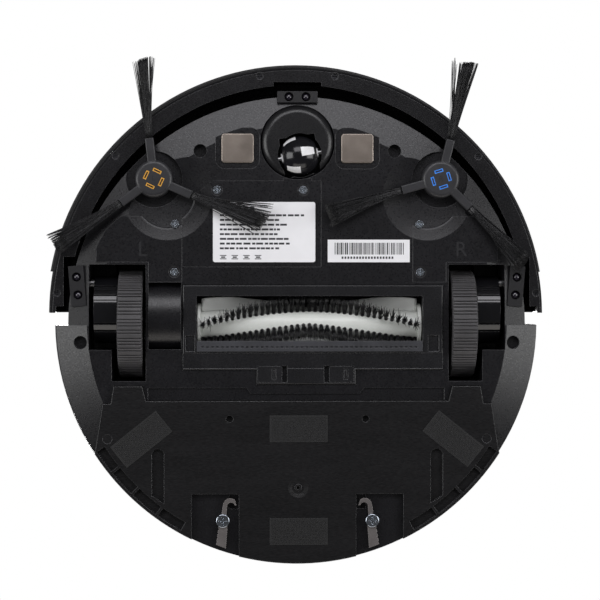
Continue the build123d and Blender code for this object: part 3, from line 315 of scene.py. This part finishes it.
# ---- side brushes ----
# Each tuft, in order of its angle: fan half width, sideways bend and shear of its cut end, in
# millimetres, and how many strands stray.
TUFTS = {
    "left": [(5.2, 1.5, 3.0, 8), (8.5, -2.0, -6.0, 14), (5.5, 2.5, -1.5, 26)],
    "right": [(6.5, -1.5, 4.0, 12), (5.5, 1.5, 2.0, 10), (5.6, -1.5, 1.5, 18)],
}
STRANDS = 150
STRAND_RADIUS = 0.17 * MM


def strand(build, root, out, across, length, start, end, drop):
    """One bristle from its root, going out, with its sideways places at the start and the end."""
    path, steps = [], 7
    for k in range(steps + 1):
        u = k / steps
        side = start + (end - start) * u ** 1.25
        path.append(root + out * length * u + across * side + DOWN * drop * u ** 1.3)
    build.tube(path, [STRAND_RADIUS] * steps + [STRAND_RADIUS * 0.6], 4, Vector((0, 0, 1)))


def tuft(build, hub, angle, near, far, low_z, shape):
    """A flat fan of bristles that leaves an arm of a side brush and droops towards the floor."""
    fan, bend, shear, strays = shape
    out = Vector((math.cos(angle), math.sin(angle), 0))
    across = Vector((-out.y, out.x, 0))
    root = hub + out * (near - 3.0 * MM)
    for k in range(STRANDS + strays):
        place = max(-1.0, min(1.0, random.gauss(0, 0.5)))
        start = place * 1.7 * MM + random.uniform(-0.3, 0.3) * MM
        end = (place * fan + bend + random.gauss(0, 0.5)) * MM
        if k >= STRANDS:
            end = (fan * (1.15 + random.uniform(0, 0.45)) * math.copysign(1, bend) + bend) * MM
        height = Vector((0, 0, random.uniform(-0.8, 0.8) * MM))
        length = far - near + 3.0 * MM - random.uniform(0, 1.6) * MM + shear * place * 0.5 * MM
        drop = root.z - low_z - random.uniform(0.2, 1.4) * MM
        strand(build, root + height, out, across, min(length, far - near + 3.5 * MM), start, end, drop)


def side_brush_tufts(side):
    """The three tufts of one side brush, strand by strand."""
    node = f"{side}_brush_bristles"
    hub = centre_of(f"{side}_brush_insert")
    build = Build()
    groups = [g - np.array(hub) for g in solids(node)]
    angles = sorted(math.atan2(g[:, 1].mean(), g[:, 0].mean()) for g in groups)
    reach = np.hypot(groups[0][:, 0], groups[0][:, 1])
    low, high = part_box(node)
    root = Vector((hub.x, hub.y, high.z - 1.2 * MM))
    for angle, shape in zip(angles, TUFTS[side]):
        tuft(build, root, angle, reach.min(), reach.max() - 0.6 * MM, low.z, shape)
    build.piece(f"{side}_brush_tufts", f"side_brush_{side}", "bristle", MATERIALS["bristle"], True, [node])


def slot_shades(side):
    """Painted shade: thin dark sheets in the four coloured slots of a side brush's hub, where their insides
    lie in shade.
    """
    build = Build()
    node = f"{side}_brush_insert"
    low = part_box(node)[0].z
    for group in solids(node):
        flat = group[:, :2] - group[:, :2].mean(0)
        turn = np.linalg.svd(flat)[2]
        halves = np.abs(flat @ turn.T).max(0)
        axes = (Vector((*turn[0], 0)), Vector((*turn[1], 0)), Vector((0, 0, 1)))
        middle = (group.min(0) + group.max(0)) / 2
        centre = Vector((middle[0], middle[1], low))
        build.box(centre, (halves[0] * 0.68, halves[1] * 0.45, 0.06 * MM), axes)
    build.piece(f"{side}_slot_shades", f"side_brush_{side}", "hub_satin", SLOT_SHADE)


# ---- main brush ----
def row_angle(row, share):
    """The angle of a row from straight down, at a share of the way from the middle to an end."""
    return math.radians(ROW_START + 360.0 / ROW_COUNT * row + ROW_SWEEP * abs(share) ** ROW_BOW)


def outwards(angle):
    """The direction away from the brush's axis at an angle from straight down."""
    return Vector((0, math.sin(angle), -math.cos(angle)))


def brush_axis(node):
    """The middle point of the main brush's axis, half the length of its rows, and their outer radius."""
    low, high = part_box(node)
    core = centre_of("roller_core")
    points = np.array([v.co for v in frame["nodes"][node].data.vertices])
    reach = np.hypot(points[:, 1] - core.y, points[:, 2] - core.z).max()
    return Vector(((low.x + high.x) / 2, core.y, core.z)), (high.x - low.x) / 2, float(reach)


ROW_LEAN = {1: 0.3}            # radians that a row's tips are swept back
TUFTS_PER_ROW = 37
ROW_SPAN = 0.985              # share of the row's length that its tufts cover
TUFT_STRANDS = 54


def roller_tufts():
    """The rows of bristle tufts on the main brush."""
    middle, half, reach = brush_axis("roller_bristles")
    build = Build()
    for row in BRISTLE_ROWS:
        for k in range(TUFTS_PER_ROW):
            share = (2 * k / (TUFTS_PER_ROW - 1) - 1) * ROW_SPAN
            angle = row_angle(row, share)
            for _ in range(TUFT_STRANDS):
                spot = Vector((share * half + random.uniform(-0.9, 0.9) * MM, 0, 0))
                turn = angle + random.uniform(-0.075, 0.075)
                lean = angle + ROW_LEAN.get(row, 0.0) + random.gauss(0, 0.09)
                root = middle + spot + outwards(turn) * (ROLLER_CORE - 0.2 * MM)
                tip_x = spot.x + random.gauss(0, 0.95) * MM
                far = reach - random.uniform(0.1, 1.3) * MM
                tip = middle + Vector((tip_x, 0, 0)) + outwards(lean) * far
                halfway = Vector(((spot.x + tip_x) / 2, 0, 0))
                bulge = middle + halfway + outwards((turn + lean) / 2) * (far * 0.72)
                build.tube([root, bulge, tip], [0.2 * MM, 0.19 * MM, 0.13 * MM], 3, Vector((1, 0, 0)))
    build.piece("roller_tufts", "main_brush", "bristle", MATERIALS["bristle"], True, ["roller_bristles"])


def tuft_sockets():
    """The small black collars that the tufts stand in."""
    middle, half, _ = brush_axis("roller_bristles")
    build = Build()
    for row in BRISTLE_ROWS:
        for k in range(TUFTS_PER_ROW):
            share = (2 * k / (TUFTS_PER_ROW - 1) - 1) * ROW_SPAN
            out = outwards(row_angle(row, share))
            foot = middle + Vector((share * half, 0, 0)) + out * (ROLLER_CORE - 0.3 * MM)
            radii = [1.25 * MM, 1.25 * MM, 1.0 * MM]
            path = [foot, foot + out * 0.5 * MM, foot + out * 0.75 * MM]
            build.tube(path, radii, 10, Vector((1, 0, 0)))
    build.piece("roller_tuft_collars", "main_brush", "bristle", MATERIALS["bristle"], True)


def roller_wings():
    """The soft white blades of the main brush: bowed strips with a thick root and a thin rounded edge."""
    middle, half, reach = brush_axis("roller_blades")
    build, steps = Build(), 56
    profile = [(0.0, 1.2), (0.25, 0.85), (0.6, 0.62), (0.9, 0.5), (1.0, 0.25)]
    sides = 2 * len(profile)
    for row in BLADE_ROWS:
        points = []
        for k in range(steps + 1):
            share = 2 * k / steps - 1
            angle = row_angle(row, share)
            out, aside = outwards(angle), outwards(angle + math.pi / 2)
            ripple = 0.25 * MM * math.sin(9 * share + row)
            foot = middle + Vector((share * half, 0, 0))
            ring = []
            for level, thick in profile:
                radius = ROLLER_CORE - 0.1 * MM + (reach - ROLLER_CORE - 0.1 * MM) * level
                ring.append(foot + out * radius + aside * (thick * MM + ripple * level))
            for level, thick in reversed(profile):
                radius = ROLLER_CORE - 0.1 * MM + (reach - ROLLER_CORE - 0.1 * MM) * level
                ring.append(foot + out * radius + aside * (-thick * MM + ripple * level))
            points += ring
        build.rings(points, steps + 1, sides)
    build.piece("roller_wings", "main_brush", "blade_white", MATERIALS["blade_white"], True,
                ["roller_blades"])


# ---- drive wheels ----
RIB_PATTERN = (2.7, 1.3, 1.3, 2.0, 1.3)   # widths of the ribs, in millimetres
RIB_GAP = 0.75
RIB_DEPTH = 1.5
RIB_REPEATS = 18
TYRE_CHAMFER = 0.7 * MM


def ribbed_tyre(side):
    """A tyre with ribs of several widths, and its two lit side edges."""
    low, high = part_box(f"tyre_{side}")
    centre = (low + high) / 2
    radius = (high.z - low.z) / 2
    unit = 2 * math.pi / RIB_REPEATS / (sum(RIB_PATTERN) + RIB_GAP * len(RIB_PATTERN))
    stations, turn = [], 0.0
    for _ in range(RIB_REPEATS):
        for width in RIB_PATTERN:
            stations += [(turn + 0.12 * unit, 0.0), (turn + (width - 0.12) * unit, 0.0)]
            stations += [(turn + width * unit, RIB_DEPTH), (turn + (width + RIB_GAP) * unit, RIB_DEPTH)]
            turn += (width + RIB_GAP) * unit
    build, points = Build(), []
    x0, x1 = low.x, high.x
    bore = radius - TYRE_DEPTH
    for angle, depth in stations:
        top = radius - depth * MM
        side_top = radius - max(depth, 0.9) * MM
        out = Vector((0, math.cos(angle), math.sin(angle)))
        section = [(x0, bore), (x0, side_top), (x0 + TYRE_CHAMFER, top)]
        section += [(x1 - TYRE_CHAMFER, top), (x1, side_top), (x1, bore)]
        points += [Vector((x, centre.y, centre.z)) + out * r for x, r in section]
    count, sides = len(stations), 6
    faces = []
    for k in range(count):
        for j in range(sides):
            a, b = k * sides + j, k * sides + (j + 1) % sides
            c, d = ((k + 1) % count) * sides + (j + 1) % sides, ((k + 1) % count) * sides + j
            faces.append((a, b, c, d))
    build.add(points, faces)
    build.piece(f"ribbed_tyre_{side}", f"drive_wheel_{side}", "tyre_rubber", MATERIALS["tyre_rubber"],
                False, [f"tyre_{side}"])


# ---- caster ----
def caster_inlays():
    """The white patches let into the caster wheel, and the white collars on its axle."""
    axle = np.array([v.co for v in frame["nodes"]["caster_axle"].data.vertices])
    along = Vector(np.linalg.svd(axle - axle.mean(0))[2][0]).normalized()
    if along.x < 0:
        along = -along
    ahead = Vector((0, 0, 1)).cross(along)
    centre = Vector(axle.mean(0))
    low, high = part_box("caster_wheel")
    radius = (high.z - low.z) / 2
    reach = BARREL_HALF / math.sqrt(1 - (BARREL_END / radius) ** 2)
    build = Build()

    def surface(x, angle, proud):
        level = radius * math.sqrt(1 - (x / reach) ** 2) + proud
        return centre + along * x + (ahead * math.sin(angle) + DOWN * math.cos(angle)) * level

    for x0, x1, first in ((-9.4 * MM, -1.0 * MM, 52.0), (1.0 * MM, 9.4 * MM, -8.0)):
        for k in range(3):
            middle = math.radians(first + 120.0 * k)
            spread, steps = math.radians(14.0), 8
            points = []
            for i in range(steps + 1):
                angle = middle - spread + 2 * spread * i / steps
                line = [x0 + (x1 - x0) * j / 4 for j in range(5)]
                points += [surface(x, angle, 0.08 * MM) for x in line]
                points += [surface(x, angle, -0.3 * MM) for x in reversed(line)]
            build.rings(points, steps + 1, 10)
    for x in (-BARREL_HALF, BARREL_HALF):
        step = math.copysign(1, x) * along
        build.tube([centre + along * x - step * 0.2 * MM, centre + along * x + step * 1.0 * MM],
                   [3.4 * MM, 3.1 * MM], 20, Vector((0, 0, 1)))
    build.piece("caster_inlays", "caster_roller", "caster_gloss", WHITE_INLAY, False)


# ---- labels and marks ----
def label_print():
    """Plain dark bars that stand for the lines on the two labels."""
    low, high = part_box("labels")
    build = Build()
    z = low.z - 0.02 * MM

    def bar(x0, x1, y0, y1):
        build.box(Vector(((x0 + x1) / 2, (y0 + y1) / 2, z)), ((x1 - x0) / 2, (y1 - y0) / 2, 0.04 * MM))

    left, top = low.x + 4.5 * MM, low.y + 6.0 * MM
    x = left
    for width in (3.4, 2.6, 3.6, 1.0, 3.4, 2.8):
        bar(x, x + width * MM, top - 3.0 * MM, top - 0.6 * MM)
        x += (width + 1.1) * MM
    right = low.x + LARGE_LABEL[0] - 4.0 * MM
    for row in range(8):
        x = left
        y = top + (2.6 + 3.05 * row) * MM
        end = right - random.uniform(0, 24) * MM
        while x < end:
            width = random.uniform(1.2, 4.6) * MM
            bar(x, min(x + width, end + MM), y - 0.62 * MM, y + 0.62 * MM)
            x += width + random.choice((0.5, 0.6, 1.1)) * MM
    for k in range(4):
        x = left + 7.5 * MM * k
        y = low.y + LARGE_LABEL[1] - 4.6 * MM
        bar(x, x + 4.2 * MM, y, y + 0.5 * MM)
        bar(x, x + 4.2 * MM, y + 2.2 * MM, y + 2.7 * MM)
        bar(x + 0.8 * MM, x + 3.4 * MM, y + 0.9 * MM, y + 1.8 * MM)
    x, end = high.x - LONG_LABEL[0] + 4.5 * MM, high.x - 4.0 * MM
    y = high.y - LONG_LABEL[1]
    while x < end:
        width = random.choice((0.3, 0.3, 0.5, 0.8)) * MM
        bar(x, x + width, y + 2.0 * MM, y + 9.6 * MM)
        x += width + random.choice((0.35, 0.35, 0.6, 0.8)) * MM
    for k in range(18):
        x = high.x - LONG_LABEL[0] + (9.0 + 1.9 * k) * MM
        bar(x, x + 1.15 * MM, y + 10.9 * MM, y + 12.4 * MM)
    build.piece("label_print", "chassis", "label_paper", PRINT_INK)


def letter(name, character, place, size, body):
    """A raised letter L or R, for the left and the right side, read from below."""
    text = bpy.data.curves.new(name, "FONT")
    text.body = character
    text.size = size
    text.align_x = "CENTER"
    text.align_y = "CENTER"
    text.extrude = 0.06 * MM
    carrier = bpy.data.objects.new(name, text)
    bpy.context.scene.collection.objects.link(carrier)
    carrier.matrix_world = Matrix.Translation(place) @ Matrix.Rotation(math.pi, 4, "X")
    bpy.context.view_layer.update()
    evaluated = carrier.evaluated_get(bpy.context.evaluated_depsgraph_get())
    mesh = bpy.data.meshes.new_from_object(evaluated)
    mesh.transform(carrier.matrix_world)
    bpy.data.objects.remove(carrier)
    mesh.materials.clear()
    mesh.materials.append(MARK_GREY)
    made = bpy.data.objects.new(name, mesh)
    bpy.context.scene.collection.objects.link(made)
    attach(made, body)


def side_marks():
    """The side letters on the wheel covers and on the brush hubs."""
    low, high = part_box("wheel_covers")
    y = low.y + 21.7 * MM
    letter("left_cover_mark", "L", Vector((low.x + 30.0 * MM, y, low.z)), 13.5 * MM, "chassis")
    letter("right_cover_mark", "R", Vector((high.x - 23.8 * MM, y, low.z)), 13.5 * MM, "chassis")
    for side, character in (("left", "L"), ("right", "R")):
        hub = centre_of(f"{side}_brush_insert")
        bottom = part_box(f"{side}_brush_hub")[0].z
        place = Vector((hub.x, hub.y, bottom))
        letter(f"{side}_hub_mark", character, place, 5.0 * MM, f"side_brush_{side}")


# ---- hook pads ----
def pad_hooks():
    """The four patches of hook fabric: a thin woven base with rows of small bent hooks."""
    build = Build()
    for group in solids("hook_pads"):
        low_z, high_z = group[:, 2].min(), group[:, 2].max()
        corners = group[group[:, 2] < (low_z + high_z) / 2][:, :2]
        centre = corners.mean(0)
        first = corners[0]
        others = sorted((float(np.hypot(*(c - first))), tuple(c)) for c in corners[1:])
        width, length = others[0][0], others[1][0]
        along = Vector((*(np.array(others[1][1]) - first), 0)).normalized()
        across = Vector((-along.y, along.x, 0))
        middle = Vector((*centre, 0))
        base = Vector((*centre, high_z - 0.15 * MM))
        axes = (along, across, Vector((0, 0, 1)))
        build.box(base, (length / 2, width / 2, 0.15 * MM), axes)
        pitch = 0.95 * MM
        rows, columns = int(width / pitch) - 1, int(length / pitch) - 1
        for i in range(rows):
            for j in range(columns):
                shift = 0.5 * (i % 2)
                u = (j - (columns - 1) / 2 + shift * 0.5) * pitch
                v = (i - (rows - 1) / 2) * pitch
                foot = middle + along * u + across * v
                lean = (along + across * (1 if (i + j) % 2 else -1)).normalized()
                top = low_z + random.uniform(0.0, 0.12) * MM
                path = [Vector((foot.x, foot.y, high_z - 0.25 * MM)),
                        Vector((foot.x, foot.y, top)) + lean * 0.12 * MM,
                        Vector((foot.x, foot.y, top + 0.1 * MM)) + lean * 0.42 * MM]
                build.tube(path, [0.16 * MM, 0.15 * MM, 0.1 * MM], 4, across)
    build.piece("pad_hooks", "dust_bin", "hook_fabric", MATERIALS["hook_fabric"], False, ["hook_pads"])


# ---- light, floor and camera ----
def panel(name, place, target, width, height, power, colour=(1, 1, 1)):
    """A soft rectangular light that faces the target."""
    data = bpy.data.lights.new(name, "AREA")
    data.shape = "RECTANGLE"
    data.size, data.size_y = width, height
    data.energy = power
    data.color = colour
    lamp = bpy.data.objects.new(name, data)
    bpy.context.scene.collection.objects.link(lamp)
    lamp.location = place
    lamp.rotation_mode = "QUATERNION"
    lamp.rotation_quaternion = (Vector(target) - Vector(place)).to_track_quat("-Z", "Y")


def studio():
    """White surroundings for the camera, dim ones for everything else, and soft panels below and above."""
    world = bpy.data.worlds.new("studio")
    world.use_nodes = True
    tree = world.node_tree
    background = tree.nodes["Background"]
    path = tree.nodes.new("ShaderNodeLightPath")
    strength = remap(tree, path.outputs["Is Camera Ray"], 0.0, 1.0, 0.05, 1.0)
    link(tree, strength, background.inputs["Strength"])
    background.inputs["Color"].default_value = (1, 1, 1, 1)
    bpy.context.scene.world = world
    bpy.context.scene.view_settings.view_transform = "Standard"
    middle = (0, 0, 0.02)
    panel("front_softbox", (0.0, -0.95, -1.15), middle, 1.6, 0.7, 12, (0.97, 0.96, 1.0))
    panel("left_softbox", (-1.5, -0.1, -0.95), middle, 1.0, 1.2, 14)
    panel("right_softbox", (1.5, -0.1, -0.95), middle, 1.0, 1.2, 14)
    panel("rear_card", (0.0, 1.5, -0.55), middle, 1.8, 0.9, 6, (1.0, 0.95, 0.9))
    panel("top_softbox", (0.0, 0.0, 1.7), middle, 0.7, 0.7, 40)


def pale_floor():
    """A pale floor that shows from above and lets everything through from below."""
    bpy.ops.mesh.primitive_plane_add(size=6.0, location=(0, 0, -0.0006))
    floor = bpy.context.object
    floor.name = "floor"
    made = bpy.data.materials.new("floor_pale")
    made.use_nodes = True
    tree = made.node_tree
    shader = tree.nodes["Principled BSDF"]
    shader.inputs["Base Color"].default_value = (0.78, 0.78, 0.78, 1)
    shader.inputs["Roughness"].default_value = 0.9
    side = tree.nodes.new("ShaderNodeNewGeometry").outputs["Backfacing"]
    clear = tree.nodes.new("ShaderNodeBsdfTransparent")
    mixed = tree.nodes.new("ShaderNodeMixShader")
    link(tree, side, mixed.inputs["Fac"])
    link(tree, shader.outputs["BSDF"], mixed.inputs[1])
    link(tree, clear.outputs["BSDF"], mixed.inputs[2])
    link(tree, mixed.outputs["Shader"], tree.nodes["Material Output"].inputs["Surface"])
    floor.data.materials.append(made)
    floor.visible_diffuse = False
    floor.visible_glossy = False
    floor.visible_transmission = False
    floor.visible_shadow = False


CAMERA_PLACE = Vector((-33.67, -8.99, -1197.8)) * MM
CAMERA_TARGET = Vector((1.6, -9.0, 9.5)) * MM
CAMERA_LENS = 112.2


def camera():
    """Looks up at the underside, with the front of the robot at the top of the picture."""
    data = bpy.data.cameras.new("camera")
    data.lens = CAMERA_LENS
    data.sensor_width = 36.0
    data.clip_start = 0.05
    made = bpy.data.objects.new("camera", data)
    bpy.context.scene.collection.objects.link(made)
    back = (CAMERA_PLACE - CAMERA_TARGET).normalized()
    up = Vector((0, -1, 0))
    right = up.cross(back).normalized()
    up = back.cross(right)
    turn = Matrix((right, up, back)).transposed()
    made.matrix_world = Matrix.Translation(CAMERA_PLACE) @ turn.to_4x4()
    bpy.context.scene.camera = made


dress_nodes()
side_brush_tufts("left")
side_brush_tufts("right")
slot_shades("left")
slot_shades("right")
roller_tufts()
tuft_sockets()
roller_wings()
ribbed_tyre("left")
ribbed_tyre("right")
caster_inlays()
label_print()
side_marks()
pad_hooks()
pale_floor()
studio()
camera()
